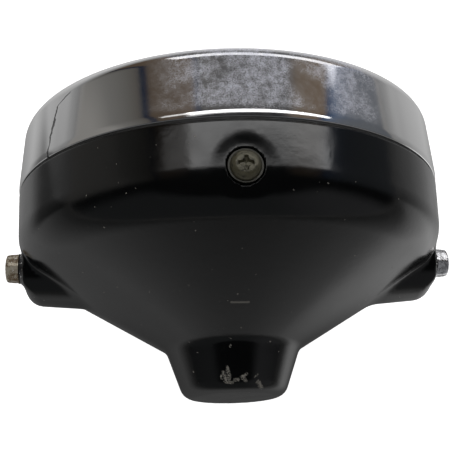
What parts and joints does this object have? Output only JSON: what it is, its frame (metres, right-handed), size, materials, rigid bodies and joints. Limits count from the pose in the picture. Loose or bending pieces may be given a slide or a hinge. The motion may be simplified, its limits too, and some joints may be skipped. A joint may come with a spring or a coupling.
{
  "type": "motorcycle headlight",
  "caption": "Round motorcycle headlight with a chromed rim, a fluted glass, a bowl-shaped black shell with a closed tail and a bolt boss at each side.",
  "frame": {"origin": "centre of the part's box: on the lamp's axis, halfway between the front of the glass and the closed end of the tail", "axes": "-Y is the way the lamp shines, +X runs across the motorcycle along the ear bolts, +Z is the side with the rim screw"},
  "size_m": [0.2002, 0.1282, 0.1916],
  "materials": {
    "black_shell": "semi-gloss black with fine orange peel, scuffs on the tail",
    "chrome_rim": "bright chrome with hazy pitting over the top",
    "rubber": "matt black rubber",
    "lens_glass": "clear glass, fluted on the inside",
    "reflector_silver": "vapour-coated bright silver",
    "spring_steel": "plain spring steel",
    "plated_steel": "dull zinc plate",
    "dull_screw": "old plated steel with a dark olive patina",
    "yellow_zinc": "worn yellow zinc with brown rust",
    "bright_zinc": "bright zinc",
    "black_washer": "black, slightly shiny",
    "bulb_glass": "clear bulb glass",
    "filament_metal": "grey nickel wire",
    "bulb_metal": "pressed and plated sheet",
    "black_insulator": "matt moulded insulator",
    "brass_blades": "plain brass",
    "white_holder": "white moulded plastic"
  },
  "bodies": {
    "root": {"shell": "black_shell", "rim": "chrome_rim", "rim_seal": "rubber", "lens": "lens_glass", "lens_seal": "rubber", "reflector": "reflector_silver", "unit_clips": "spring_steel", "rim_strap": "plated_steel", "rim_hook": "plated_steel", "rim_screw": "dull_screw", "rim_screw_washer": "dull_screw", "bolt_left": "yellow_zinc", "bolt_right": "bright_zinc", "washer_left": "black_washer", "washer_right": "black_washer", "mount_nut_left": "plated_steel", "mount_nut_right": "plated_steel", "bulb_glass": "bulb_glass", "bulb_filaments": "filament_metal", "bulb_base": "bulb_metal", "bulb_insulator": "black_insulator", "bulb_terminals": "brass_blades", "bulb_spring": "spring_steel", "bulb_boot": "rubber", "parking_holder": "white_holder", "parking_bulb": "bulb_glass", "parking_contacts": "brass_blades", "cable_grommet": "rubber"}
  },
  "joints": []
}
